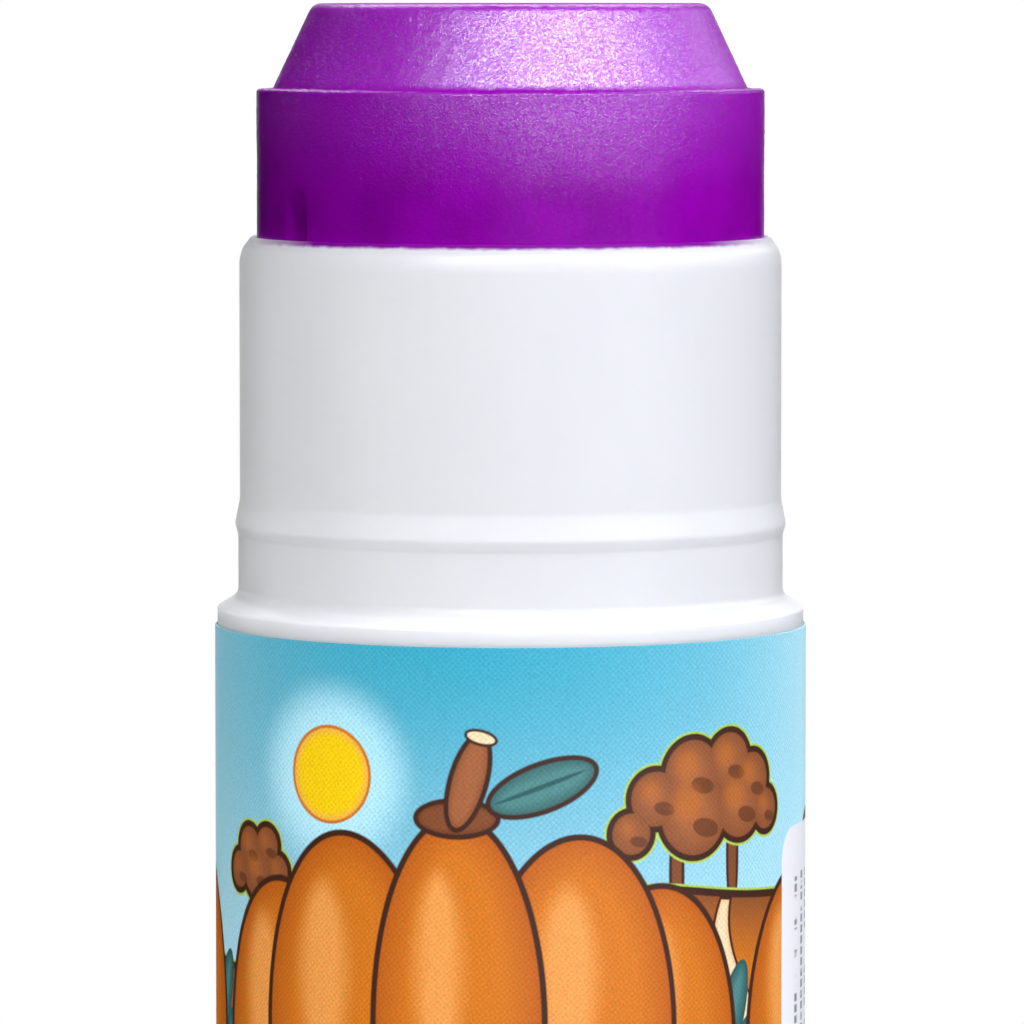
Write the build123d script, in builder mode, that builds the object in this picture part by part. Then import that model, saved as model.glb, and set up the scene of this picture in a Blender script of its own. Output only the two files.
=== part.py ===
from build123d import *
import os
from math import ceil, cos, degrees, radians, sin, tan

# A twist-up glue stick without its cap, standing on its knob, with the glue turned up out of the barrel.
# Millimetres, +Z up. The origin is the middle of the ring that the knob stands on.
# The front of the stick is the side that faces -Y.

# Glue, measured from its top down
glue_radius = 11.585
glue_length = 50.0
cone_height = 3.87
ledge_width = 0.745
cone_run = 1.83  # how much narrower the cone is at its top
cone_top_round = 0.6
cone_foot_round = 0.2
ledge_round = 0.18

# Where the glue stands: now, turned right down, and turned right up
glue_rise = 10.6  # its top above the barrel's rim, now
stowed_depth = 1.4  # its top below the rim, turned right down
cup_depth_left = 1.4  # the carrier's cup below the rim, turned right up
lead = 4.0  # rise for one turn of the knob

# Knob
knob_height = 14.0
knob_inset = 0.03  # the knob is this much smaller in radius than the barrel
knob_wall = 1.2
knob_edge = 0.4
deck_thickness = 1.4
collar_height = 4.6
collar_wall = 1.1
collar_clearance = 0.3
collar_chamfer = 0.3
hub_radius = 5.2
hub_rise = 2.0  # the hub ends this far above the ring that the knob stands on
knob_web_count = 6
knob_web_thickness = 1.0
knob_web_rise = 1.5
groove_count = 40
groove_radius = 0.5
groove_depth = 0.35
groove_margin = 1.7  # plain band above and below the grooves

# Barrel, from its rim down
glue_clearance = 0.12  # between the glue and the bore
neck_wall = 0.645
neck_height = 11.92
rim_round_share = 0.62  # of the neck's wall
rim_inner_round_share = 0.18
lead_in_share = 0.155
lead_in_height = 0.8
bead_rise = 0.22
bead_ramp_height = 1.14
bead_foot_height = 0.52
bead_round = 0.5
bead_hollow = 0.5
lower_neck_step = 0.08
lower_neck_height = 2.73
shoulder_width = 1.03
shoulder_slope = 30.0  # degrees from level
shoulder_hollow = 0.6
shoulder_round = 0.2
foot_chamfer = 0.3
knob_gap = 0.3
web_gap = 0.6  # between the knob's collar and the web
web_thickness = 1.4

# Guide ribs along the bore, which keep the carrier from turning
rib_count = 2
rib_width = 1.1
rib_height = 0.35
rib_angle = 213.6  # degrees from +X, on the left of the front
rib_below_rim = 9.4
rib_taper = 2.6
rib_clearance = 0.1  # between a rib and the glue
notch_clearance = 0.2  # between a rib and the carrier

# Label film
film_thickness = 0.09
adhesive_thickness = 0.03
label_below_shoulder = 0.8
label_above_foot = 1.2
lap_width = 4.0
lap_angle = 90.0  # degrees from +X, the back of the stick

# Screw spindle
stub_sides = 6
stub_flats = 5.0
stub_squeeze = 0.02  # the stub is this much wider than its socket
stub_rise = 1.0  # the stub ends this far above the foot of the hub
journal_radius = 3.4
journal_clearance = 0.1
hub_gap = 0.15
flange_radius = 5.6
flange_thickness = 1.2
flange_gap = 0.15
spare_height = 12.35  # between the flange and the nut when the glue is turned right down
core_radius = 2.0
crest_radius = 2.9
thread_root_width = 2.1
thread_crest_width = 0.9
thread_sink = 0.4  # how deep a thread's foot is buried in what carries it
thread_kept = 3.7  # length of thread still in the nut when the glue is turned right up
thread_below_tip = 1.0
tip_chamfer = 0.5

# Carrier
carrier_clearance = 0.2
cup_depth = 4.0
cup_wall = 0.9
floor_thickness = 1.2
guide_wall = 1.05
guide_band = 3.0
waist_depth = 0.3
stow_gap = 0.3  # between the guide's foot and the web when the glue is turned right down
nut_radius = 4.8
nut_height = 6.0
nut_clearance = 0.15
tooth_margin = 0.1  # between the tooth and the nut's two ends
carrier_web_count = 4
carrier_web_thickness = 0.9
carrier_web_height = 5.0
carrier_edge = 0.15

# Glue round the screw
screw_hole_clearance = 0.2
screw_hole_headroom = 0.8

# One overrun serves all cuts that run past a face, and one depth all webs and ribs that are sunk into a wall
overrun = 1.0
root_depth = 0.4

# Radii that follow, from the glue outwards
cone_foot_radius = glue_radius - ledge_width
cone_top_radius = cone_foot_radius - cone_run
bore_radius = glue_radius + glue_clearance
neck_radius = bore_radius + neck_wall
bead_radius = neck_radius + bead_rise
lower_neck_radius = neck_radius + lower_neck_step
barrel_radius = neck_radius + shoulder_width
film_inner_radius = barrel_radius + adhesive_thickness
label_radius = film_inner_radius + film_thickness
knob_radius = barrel_radius - knob_inset
skirt_radius = knob_radius - knob_wall
collar_radius = bore_radius - collar_clearance
carrier_radius = bore_radius - carrier_clearance
cup_radius = carrier_radius - cup_wall
guide_bore_radius = carrier_radius - guide_wall
groove_floor_radius = bore_radius - rib_height - rib_clearance
screw_hole_radius = crest_radius + screw_hole_clearance

# Levels that follow, from the foot up, with the glue where it stands now
drop = glue_rise + stowed_depth
deck_foot = knob_height - deck_thickness
barrel_foot = knob_height + knob_gap
web_foot = knob_height + collar_height + web_gap
web_top = web_foot + web_thickness
hub_top = web_foot - hub_gap
stub_foot = hub_rise + stub_rise
flange_foot = web_top + flange_gap
flange_top = flange_foot + flange_thickness
guide_foot = web_top + stow_gap + drop
nut_foot = flange_top + spare_height + drop
floor_foot = nut_foot + nut_height
cup_floor = floor_foot + floor_thickness
cup_rim = cup_floor + cup_depth
glue_top = cup_floor + glue_length
ledge_level = glue_top - cone_height
rim_level = glue_top - glue_rise
neck_level = rim_level - neck_height
bead_level = neck_level - bead_ramp_height
bead_foot_level = bead_level - bead_foot_height
lower_neck_level = bead_foot_level - lower_neck_height
shoulder_level = lower_neck_level - (barrel_radius - lower_neck_radius) * tan(radians(shoulder_slope))
label_foot = barrel_foot + label_above_foot
label_top = shoulder_level - label_below_shoulder
rib_top = rim_level - rib_below_rim
groove_top = rib_top + drop + rib_clearance
lift = rim_level - cup_depth_left - cup_rim
screw_tip = nut_foot + lift + thread_kept + thread_below_tip
screw_hole_top = screw_tip + drop + screw_hole_headroom

# The nut's tooth starts just above the nut's foot, and the thread runs half a turn out of step with it
thread_root_radius = core_radius - thread_sink
flank_slope = (thread_root_width - thread_crest_width) / (crest_radius - thread_root_radius)
tooth_tip_radius = core_radius + nut_clearance
nut_bore_radius = crest_radius + nut_clearance
tooth_root_radius = nut_bore_radius + thread_sink
tooth_gap_width = thread_crest_width + 2 * nut_clearance
tooth_root_width = lead - tooth_gap_width + flank_slope * (tooth_root_radius - crest_radius)
tooth_tip_width = lead - tooth_gap_width - flank_slope * (crest_radius - tooth_tip_radius)
tooth_foot = nut_foot + tooth_margin + tooth_root_width / 2
tooth_length = cup_floor - tooth_margin - tooth_root_width / 2 - tooth_foot
thread_foot = tooth_foot - lead * (ceil(drop / lead) + 1 / 2)
thread_length = screw_tip - thread_below_tip - thread_root_width / 2 - thread_foot
column_top = thread_foot - thread_root_width / 2


def ring_places(count, start_angle):
    """Planes spread evenly round the axis, each with its x direction pointing outwards."""
    places = []
    for index in range(count):
        turn = start_angle + index * 360 / count
        outward = Vector(cos(radians(turn)), sin(radians(turn)), 0)
        places.append(Plane(origin=(0, 0, 0), x_dir=outward, z_dir=(0, 0, 1)))
    return places


# Barrel: one revolved wall with a web across its lower end, and the guide ribs
with BuildPart() as barrel:
    with BuildSketch(Plane.XZ):
        with BuildLine():
            Polyline(
                (bore_radius, barrel_foot),
                (barrel_radius, barrel_foot),
                (barrel_radius, shoulder_level),
                (lower_neck_radius, lower_neck_level),
                (lower_neck_radius, bead_foot_level),
                (bead_radius, bead_level),
                (neck_radius, neck_level),
                (neck_radius, rim_level - lead_in_height),
                (neck_radius - neck_wall * lead_in_share, rim_level),
                (bore_radius, rim_level),
                close=True,
            )
        make_face()
    revolve(axis=Axis.Z)

    rim_edges = barrel.edges().filter_by(GeomType.CIRCLE).group_by(Axis.Z)[-1].sort_by(SortBy.RADIUS)
    fillet(rim_edges[-1], neck_wall * rim_round_share)
    rim_inner_edge = barrel.edges().filter_by(GeomType.CIRCLE).group_by(Axis.Z)[-1].sort_by(SortBy.RADIUS)[0]
    fillet(rim_inner_edge, neck_wall * rim_inner_round_share)
    foot_edges = barrel.edges().filter_by(GeomType.CIRCLE).group_by(Axis.Z)[0]
    chamfer(foot_edges, foot_chamfer)
    for level, round_radius in (
        (shoulder_level, shoulder_round),
        (lower_neck_level, shoulder_hollow),
        (bead_foot_level, bead_hollow),
        (bead_level, bead_round),
    ):
        ring_edge = barrel.edges().filter_by(GeomType.CIRCLE).filter_by_position(Axis.Z, level, level)
        fillet(ring_edge, round_radius)

    # Web that carries the spindle
    with BuildSketch(Plane.XY.offset(web_foot)):
        Circle(bore_radius + root_depth)
        Circle(journal_radius + journal_clearance, mode=Mode.SUBTRACT)
    extrude(amount=web_thickness)

    # Guide ribs, thinning out to nothing at their tops
    for place in ring_places(rib_count, rib_angle):
        with BuildSketch(Plane(origin=place.origin, x_dir=place.x_dir, z_dir=-place.y_dir)):
            with BuildLine():
                Polyline(
                    (bore_radius + root_depth, web_top),
                    (bore_radius - rib_height, web_top),
                    (bore_radius - rib_height, rib_top - rib_taper),
                    (bore_radius, rib_top),
                    (bore_radius + root_depth, rib_top),
                    close=True,
                )
            make_face()
        extrude(amount=rib_width / 2, both=True)

# Label: a film right round the barrel, whose end laps over its start at the back
lap_sweep = degrees(lap_width / label_radius)

with BuildPart() as label:
    with BuildSketch(Plane.XY.offset(label_foot)):
        Circle(label_radius)
        Circle(film_inner_radius, mode=Mode.SUBTRACT)
    extrude(amount=label_top - label_foot)

    with BuildSketch(Plane.XY.offset(label_foot)):
        with BuildLine():
            outer = CenterArc((0, 0), label_radius + film_thickness, lap_angle - lap_sweep / 2, lap_sweep)
            inner = CenterArc((0, 0), label_radius, lap_angle - lap_sweep / 2, lap_sweep)
            Line(outer @ 0, inner @ 0)
            Line(outer @ 1, inner @ 1)
        make_face()
    extrude(amount=label_top - label_foot)

# Knob: a ribbed shell open below, with a hub for the spindle and a collar that turns in the barrel's foot
with BuildPart() as knob:
    with BuildSketch(Plane.XY):
        Circle(knob_radius)
        Circle(skirt_radius, mode=Mode.SUBTRACT)
    extrude(amount=knob_height)

    outer_edges = knob.edges().filter_by(GeomType.CIRCLE).group_by(SortBy.RADIUS)[-1]
    fillet(outer_edges, knob_edge)

    with BuildSketch(Plane.XY.offset(deck_foot)):
        Circle(skirt_radius)
    extrude(amount=deck_thickness)

    with BuildSketch(Plane.XY.offset(knob_height)):
        Circle(collar_radius)
        Circle(collar_radius - collar_wall, mode=Mode.SUBTRACT)
    extrude(amount=collar_height)

    collar_edge = knob.edges().filter_by(GeomType.CIRCLE).group_by(Axis.Z)[-1].sort_by(SortBy.RADIUS)[-1]
    chamfer(collar_edge, collar_chamfer)

    with BuildSketch(Plane.XY.offset(hub_rise)):
        Circle(hub_radius)
    extrude(amount=hub_top - hub_rise)

    for place in ring_places(knob_web_count, 360 / knob_web_count / 2):
        with BuildSketch(place.offset(knob_web_rise)):
            with Locations(((hub_radius + skirt_radius) / 2, 0)):
                Rectangle(skirt_radius - hub_radius + 2 * root_depth, knob_web_thickness)
        extrude(amount=deck_foot - knob_web_rise)

    with BuildSketch(Plane.XY.offset(hub_rise)):
        RegularPolygon(stub_flats / 2, stub_sides, major_radius=False)
    extrude(amount=hub_top - hub_rise, mode=Mode.SUBTRACT)

    # Finger grooves round the outside
    groove_axis_radius = knob_radius + groove_radius - groove_depth
    with BuildSketch(Plane.XY.offset(groove_margin)):
        with PolarLocations(groove_axis_radius, groove_count):
            Circle(groove_radius)
    extrude(amount=knob_height - 2 * groove_margin, mode=Mode.SUBTRACT)

# Screw thread: a left-hand helix round the core, from the column to just below the tip
with BuildPart() as screw_thread:
    with BuildLine():
        Helix(lead, thread_length, crest_radius, center=(0, 0, thread_foot), lefthand=True)
    with BuildSketch(Plane.XZ):
        with BuildLine():
            Polyline(
                (thread_root_radius, thread_foot - thread_root_width / 2),
                (crest_radius, thread_foot - thread_crest_width / 2),
                (crest_radius, thread_foot + thread_crest_width / 2),
                (thread_root_radius, thread_foot + thread_root_width / 2),
                close=True,
            )
        make_face()
    sweep(is_frenet=True)

# Screw spindle: stub, journal, flange, column and screw, all in one piece
with BuildPart() as screw_spindle:
    with BuildSketch(Plane.XZ):
        with BuildLine():
            Polyline(
                (0, hub_top),
                (journal_radius, hub_top),
                (journal_radius, flange_foot),
                (flange_radius, flange_foot),
                (flange_radius, flange_top),
                (crest_radius, flange_top),
                (crest_radius, column_top),
                (core_radius, column_top),
                (core_radius, screw_tip - tip_chamfer),
                (core_radius - tip_chamfer, screw_tip),
                (0, screw_tip),
                close=True,
            )
        make_face()
    revolve(axis=Axis.Z)
    add(screw_thread.part)

    with BuildSketch(Plane.XY.offset(stub_foot)):
        RegularPolygon((stub_flats + stub_squeeze) / 2, stub_sides, major_radius=False)
    extrude(amount=hub_top - stub_foot)

# Nut tooth: the screw thread's gap, less the clearance, as a helix in step with it
with BuildPart() as nut_tooth:
    with BuildLine():
        Helix(lead, tooth_length, tooth_tip_radius, center=(0, 0, tooth_foot), lefthand=True)
    with BuildSketch(Plane.XZ):
        with BuildLine():
            Polyline(
                (tooth_tip_radius, tooth_foot - tooth_tip_width / 2),
                (tooth_root_radius, tooth_foot - tooth_root_width / 2),
                (tooth_root_radius, tooth_foot + tooth_root_width / 2),
                (tooth_tip_radius, tooth_foot + tooth_tip_width / 2),
                close=True,
            )
        make_face()
    sweep(is_frenet=True)

# Carrier: a cup above, a long guide below, and the nut in the middle
with BuildPart() as carrier:
    with BuildSketch(Plane.XZ):
        with BuildLine():
            Polyline(
                (nut_bore_radius, nut_foot),
                (nut_radius, nut_foot),
                (nut_radius, floor_foot),
                (guide_bore_radius, floor_foot),
                (guide_bore_radius, guide_foot),
                (carrier_radius, guide_foot),
                (carrier_radius, guide_foot + guide_band),
                (carrier_radius - waist_depth, guide_foot + guide_band + waist_depth),
                (carrier_radius - waist_depth, floor_foot - waist_depth),
                (carrier_radius, floor_foot),
                (carrier_radius, cup_rim),
                (cup_radius, cup_rim),
                (cup_radius, cup_floor),
                (nut_bore_radius, cup_floor),
                close=True,
            )
        make_face()
    revolve(axis=Axis.Z)
    foot_edges = carrier.edges().filter_by(GeomType.CIRCLE).group_by(Axis.Z)[0]
    chamfer(foot_edges, carrier_edge)
    add(nut_tooth.part)

    # Webs that stiffen the nut
    for place in ring_places(carrier_web_count, rib_angle + 180 / carrier_web_count):
        with BuildSketch(place.offset(floor_foot - carrier_web_height)):
            with Locations(((nut_radius + guide_bore_radius) / 2, 0)):
                Rectangle(guide_bore_radius - nut_radius + 2 * root_depth, carrier_web_thickness)
        extrude(amount=carrier_web_height)

    # Notches that run on the barrel's guide ribs
    for place in ring_places(rib_count, rib_angle):
        with BuildSketch(place.offset(guide_foot - overrun)):
            with Locations((bore_radius - rib_height - notch_clearance, 0)):
                Rectangle(
                    rib_height + notch_clearance + overrun,
                    rib_width + 2 * notch_clearance,
                    align=(Align.MIN, Align.CENTER),
                )
        extrude(amount=cup_rim - guide_foot + 2 * overrun, mode=Mode.SUBTRACT)

# Glue: cast in the cup and in the bore, with a ledge and a cone on top
with BuildPart() as glue:
    with BuildSketch(Plane.XZ):
        with BuildLine():
            Polyline(
                (screw_hole_radius, cup_floor),
                (cup_radius, cup_floor),
                (cup_radius, cup_rim),
                (glue_radius, cup_rim),
                (glue_radius, ledge_level),
                (cone_foot_radius, ledge_level),
                (cone_top_radius, glue_top),
                (0, glue_top),
                (0, screw_hole_top),
                (screw_hole_radius, screw_hole_top),
                close=True,
            )
        make_face()
    revolve(axis=Axis.Z)
    top_edge = glue.edges().filter_by(GeomType.CIRCLE).group_by(Axis.Z)[-1]
    fillet(top_edge, cone_top_round)
    ledge_edges = glue.edges().filter_by(GeomType.CIRCLE).filter_by_position(
        Axis.Z, ledge_level, ledge_level
    )
    ledge_edges = ledge_edges.sort_by(SortBy.RADIUS)
    fillet(ledge_edges[-1], ledge_round)
    fillet(ledge_edges[0], cone_foot_round)

    # Grooves that the guide ribs leave in the glue, up to where the ribs thin out
    for place in ring_places(rib_count, rib_angle):
        with BuildSketch(Plane(origin=place.origin, x_dir=place.x_dir, z_dir=-place.y_dir)):
            with BuildLine():
                Polyline(
                    (glue_radius + overrun, cup_rim),
                    (groove_floor_radius, cup_rim),
                    (groove_floor_radius, groove_top - rib_taper),
                    (glue_radius, groove_top),
                    (glue_radius + overrun, groove_top),
                    close=True,
                )
            make_face()
        extrude(amount=rib_width / 2 + rib_clearance, both=True, mode=Mode.SUBTRACT)

barrel.part.label = "barrel"
label.part.label = "label"
knob.part.label = "knob"
screw_spindle.part.label = "screw_spindle"
carrier.part.label = "carrier"
glue.part.label = "glue"

os.makedirs("parts", exist_ok=True)
for piece in (barrel, label, knob, screw_spindle, carrier, glue):
    export_step(piece.part, "parts/" + piece.part.label + ".step")
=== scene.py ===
from math import ceil, cos, degrees, pi, radians, sin, tan

import bmesh
import bpy
from mathutils import Matrix, Vector, noise


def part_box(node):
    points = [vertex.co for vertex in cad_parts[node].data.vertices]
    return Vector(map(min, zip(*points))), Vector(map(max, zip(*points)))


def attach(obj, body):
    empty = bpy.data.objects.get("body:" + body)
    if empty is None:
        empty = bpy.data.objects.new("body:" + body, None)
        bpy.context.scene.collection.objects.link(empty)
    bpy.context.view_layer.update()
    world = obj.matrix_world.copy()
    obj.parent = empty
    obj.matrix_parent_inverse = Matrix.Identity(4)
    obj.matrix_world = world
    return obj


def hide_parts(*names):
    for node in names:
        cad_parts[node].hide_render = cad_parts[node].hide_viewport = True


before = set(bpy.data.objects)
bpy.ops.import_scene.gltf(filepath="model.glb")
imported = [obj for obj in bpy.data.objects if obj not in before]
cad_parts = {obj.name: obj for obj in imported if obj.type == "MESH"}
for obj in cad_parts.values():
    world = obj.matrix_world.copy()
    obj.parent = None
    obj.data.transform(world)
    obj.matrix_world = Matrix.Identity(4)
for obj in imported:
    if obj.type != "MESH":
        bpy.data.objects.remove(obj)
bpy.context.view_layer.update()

# A twist-up glue stick without its cap. Sizes are in millimetres until a mesh is made.
# Angles are in degrees. Those round the axis are taken from the front (-Y), growing towards the right (+X).
MM = 0.001

# Radii that differ by less than this count as the same
tiny = 0.01


def node_size(node):
    """(radius across X, lowest level, highest level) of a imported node, in millimetres."""
    low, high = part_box(node)
    return (high.x - low.x) / 2 / MM, low.z / MM, high.z / MM


def colour_of(red, green, blue):
    """A colour given as it looks on a screen, 0 to 255, in the linear values that a shader takes."""
    linear = []
    for part in (red, green, blue):
        share = part / 255
        linear.append(share / 12.92 if share <= 0.04045 else ((share + 0.055) / 1.055) ** 2.4)
    return (*linear, 1.0)


barrel_radius, barrel_foot, rim_level = node_size("barrel")
glue_radius, cup_floor, glue_top = node_size("glue")
label_radius, label_foot, label_top = node_size("label")
knob_radius, knob_foot, hub_top = node_size("knob")
lap_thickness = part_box("label")[1].y / MM - label_radius

# Barrel, from its rim down
glue_clearance = 0.12
neck_wall = 0.645
neck_height = 11.92
lip_width = 0.12
lip_round = 0.06
nose_slope = 0.15
nose_drop = 0.5
nose_height = 1.0
nose_round = 0.8
nose_foot_round = 2.0
bead_rise = 0.22
bead_ramp_height = 1.14
bead_foot_height = 0.52
bead_round = 0.5
bead_hollow = 0.5
ramp_hollow = 1.6
lower_neck_step = 0.08
lower_neck_height = 2.73
shoulder_width = 1.03
shoulder_slope = 30.0
shoulder_hollow = 0.6
shoulder_round = 0.2
foot_chamfer = 0.3
bore_radius = barrel_radius - shoulder_width - neck_wall
neck_radius = bore_radius + neck_wall
bead_radius = neck_radius + bead_rise
lower_neck_radius = neck_radius + lower_neck_step
neck_level = rim_level - neck_height
bead_level = neck_level - bead_ramp_height
bead_foot_level = bead_level - bead_foot_height
lower_neck_level = bead_foot_level - lower_neck_height
shoulder_level = lower_neck_level - (barrel_radius - lower_neck_radius) * tan(radians(shoulder_slope))

# Web across the barrel, and the guide ribs along its bore
web_foot = 19.2
web_thickness = 1.4
journal_radius = 3.4
journal_clearance = 0.1
web_round = 0.15
rib_count = 2
rib_width = 1.1
rib_height = 0.35
rib_angle = 303.6
rib_below_rim = 9.4
rib_taper = 2.6
rib_slope = 0.2
rib_clearance = 0.1
rib_top = rim_level - rib_below_rim

# Label film
lap_width = 4.0
lap_ramp = 0.9
film_thickness = 0.09
film_edge = 0.03
label_steps = 720

# Glue; way_down is how far it slides down from where the photograph shows it
cup_depth = 4.0
cup_radius = 10.605
cone_height = 3.87
ledge_width = 0.745
cone_run = 1.83
cone_top_round = 0.6
cone_foot_round = 0.2
ledge_round = 0.18
screw_hole_radius = 3.1
screw_hole_top = 97.8
screw_hole_margin = 0.1
way_down = 12.0
groove_fade = 2.6
groove_slope = 0.6
seen_depth = 3.0
glue_grid = 0.2
glue_segments = 440
cone_foot_radius = glue_radius - ledge_width
cone_top_radius = cone_foot_radius - cone_run
ledge_level = glue_top - cone_height
groove_top = rib_top + way_down + rib_clearance

# Wear of the glue: lumps as (how many to the millimetre, height), and how far the wear reaches
broad_lumps = (0.35, 0.02)
small_lumps = (1.3, 0.012)
crumb_lumps = (4.5, 0.018)
ledge_lumps = (2.6, 0.07)
streaks_across = 2.2
streaks_along = 0.12
streak_height = 0.008
worn_below_rim = 2.0
worn_at_ledge = 0.5
worn_off_side = 0.03
worn_off_top = 0.02
flat_top_depth = 1.0

# Knob
knob_height = 14.0
collar_height = 4.6
collar_wall = 1.1
collar_clearance = 0.3
collar_chamfer = 0.3
knob_wall = 1.2
knob_edge = 0.4
knob_inner_edge = 0.15
deck_thickness = 1.4
hub_radius = 5.2
hub_rise = 2.0
stub_flats = 5.0
stub_sides = 6
knob_web_count = 6
knob_web_thickness = 1.0
knob_web_rise = 1.5
knob_web_edge = 0.15
web_sink = 0.4
groove_count = 40
groove_share = 0.62
groove_depth = 0.35
groove_margin = 1.7
groove_run_out = 0.7
groove_steepness = 1.5
groove_segments = 14
knob_grid = 0.3

# White plastic: sizes of its marks in millimetres, and how deep light goes into it, in metres
moulded_white = colour_of(221, 221, 220)
barrel_roughness = 0.32
knob_roughness = 0.34
white_scatter = (1.0, 1.0, 1.1)
white_depth = 0.0012
flow_size = 5.0
flow_fade = (0.35, 0.75)
flow_dulling = (0.965, 0.97)
flow_share = 0.06
fine_size = 0.25
scuff_size = 0.9
scuff_share = 0.12
plastic_bump = 0.004
fine_bump = 0.4
flow_bump = 0.6

# Stain of glue on the rim's lip. Each pair says where it ends and where it is full: out from the bore, down
# from the rim, and along Y.
stain_width = (0.34, 0.2)
stain_drop = (1.0, 0.5)
stain_front = (-3, -8)
stain_lumps = 0.5
stain_raggedness = 0.12

# Plastic of the parts inside
spindle_white = (0.82, 0.84, 0.85, 1)
carrier_white = (0.84, 0.85, 0.86, 1)
spindle_roughness = 0.4
carrier_roughness = 0.5
inner_flow_size = 3.0
inner_flow_fade = (0.3, 0.7)
inner_flow_share = 0.1
inner_dulling = (0.94, 0.95)
inner_fine_size = 0.3
inner_bump = 0.006

# Look of the glue: its grains and patches in millimetres, and its dry and its shiny parts by their distance
# from the ledge and the top. Towards the ledge and on the cone its colour is painted paler, as painted
# light from above, and less so on the ledge band and the top. Light goes into it by a depth in metres.
glue_fresh = colour_of(142, 1, 160)
glue_deep = colour_of(128, 1, 143)
# This paler purple is painted light: the glue's colour towards its ledge and on its cone
glue_painted_light = colour_of(166, 3, 190)
glue_index = 2.3
glue_roughness = 0.25
glue_scatter = (1.0, 0.1, 1.0)
glue_depth = 0.0005
# The dry part, whose colour is also painted paler as painted light: where it starts and is full below the
# ledge, its share and its least
dry_lit_from = 5.2
dry_lit_full = 0.3
dry_lit_share = 0.9
dry_lit_least = 0.06
ledge_shine = (0.1, 0.3)
top_shine = (0.03, 0.3)
# The worn ledge band and top: less shine there, and less of the painted light
worn_shaded_share = 0.7
worn_shaded_least = 0.3
cell_size = 0.085
cell_share = 0.6
crystal_size = 0.09
crystal_share = 0.7
crystal_edge = (0.42, 0.62)
glint_share = 0.9
glint_least = 0.1
patch_size = 2.6
patch_edge = (0.35, 0.65)
patch_share = 0.08
glue_bump = 0.026
cell_bump = 0.4
dry_bump = 0.7
least_bump = 0.3

# Print on the film: sizes in millimetres, and the width over which an edge of ink fades
film_roughness = 0.4
film_lumps = 0.8
film_bump = 0.004
ink_edge = 0.035
screen_pitch = 0.191
black_dots = 0.1
black_angle = 45
cyan_dots = 0.08
cyan_angle = 15
speckle_size = 0.09
speckle_share = 0.5
sky_top = colour_of(56, 165, 188)
sky_low = colour_of(170, 214, 226)
# This pale blue is also the colour of the painted sheen towards the film's sides and back
sky_pale_and_sheen = colour_of(198, 246, 255)
sun_yellow = colour_of(248, 204, 16)
orange = colour_of(206, 116, 28)
light_orange = colour_of(240, 164, 84)
deep_orange = colour_of(180, 88, 22)
brown = colour_of(128, 74, 42)
dark_brown = colour_of(96, 52, 30)
light_brown = colour_of(160, 96, 57)
outline_brown = colour_of(64, 36, 24)
teal = colour_of(78, 132, 128)
dark_teal = colour_of(42, 88, 86)
cream = colour_of(240, 214, 170)
fringe = colour_of(176, 204, 84)
panel_white = colour_of(240, 240, 241)
dash_grey = colour_of(110, 110, 114)

# Looks of painted shapes: the colour, the colour brushed in from the edge and how far, and the outline's
# colour and width
sun_look = (sun_yellow, light_orange, 0.5, orange, 0.14)
trunk_look = (brown, None, 0, outline_brown, 0.16)
tree_look = (light_brown, brown, 1.4, outline_brown, 0.28)
hill_look = (orange, brown, 3.4, outline_brown, 0.34)
path_look = (cream, light_orange, 0.4, outline_brown, 0.16)
bush_look = (teal, dark_teal, 0.9, dark_teal, 0.12)
ground_leaf_look = (teal, dark_teal, 1.2, outline_brown, 0.22)
lobe_look = (orange, deep_orange, 1.7, outline_brown, 0.24)
stalk_foot_look = (brown, dark_brown, 0.4, outline_brown, 0.2)
stalk_look = (light_brown, brown, 0.5, outline_brown, 0.2)
stalk_end_look = (cream, None, 0, outline_brown, 0.12)
top_leaf_look = (teal, dark_teal, 0.7, outline_brown, 0.2)

# Sprays of light on them: the colour, the width over which it grows, and its full share
sun_spray = (sky_pale_and_sheen, 2.4, 0.7)
tree_spray = (orange, 0.9, 0.4)
lobe_spray = (light_orange, 1.3, 0.75)
spot_share = 0.75
furrow_share = 0.7

# Picture: places are (along, up), in millimetres along the film from the front and up from the floor
sky_fade = (56.0, 76.0)
# The print is painted paler away from the front as a painted sheen: least at this place along the film,
# growing by this curve, up to this share
least_sheen_place = -2.0
sheen_curve = (2.4, 0.7)
sheen_most = 0.85
sun_place = (-8.6, 69.4)
sun_radius = 2.2
sun_glow = 2.6
hill_level = 62.0
fringe_width = 0.1
furrow_pitch = 1.6
furrow_half = 0.12
furrow_top = -3.6
path_place = 11.9
path_top = 66.0
path_swing = 1.5
path_bend = 0.42
path_half = 0.12
path_spread = 0.13
path_drop = 0.3
trunk_radii = (0.42, 2.6)
bush_place = -18.6

# Waves: how many go round the film, the place of a crest, and the height
crest_wave = (2, 9.7, 2.7)
crest_ripple = (5, 3.0, 0.6)
furrow_wave = (4, 2.0, 0.5)

# Groups of trees: a place along the film, then the trunks' places, and the leaves as (along, up, radius)
tree_groups = (
    (9.7, ((-1.9, 65.0), (1.4, 65.6)),
     ((-4.2, 66.9, 1.2), (-3.0, 68.4, 1.5), (-1.0, 69.4, 1.8), (-0.9, 67.6, 2.1), (1.2, 69.8, 1.6),
      (2.8, 68.9, 1.5), (3.9, 67.5, 1.2), (1.9, 67.9, 1.8))),
    (-13.6, ((0.1, 62.0),),
     ((-1.6, 64.6, 1.1), (-0.6, 65.7, 1.2), (0.9, 65.9, 1.1), (1.7, 64.8, 1.0), (0.1, 64.6, 1.4))),
)

# Light and dark spots on a tree's leaves: how far they are moved and how large they are, as shares of the
# leaf's radius. The light on a pumpkin's lobes is moved by millimetres.
leaf_light_shift = (-0.2, 0.25)
leaf_light_size = 0.6
leaf_dark_shift = (0.3, -0.3)
leaf_dark_size = (0.36, 0.2)
leaf_dark_lean = 12
lobe_light_spread = 1.06
lobe_light_shift = (-0.7, 2.2)
lobe_light_size = (0.42, 0.52)

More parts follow.
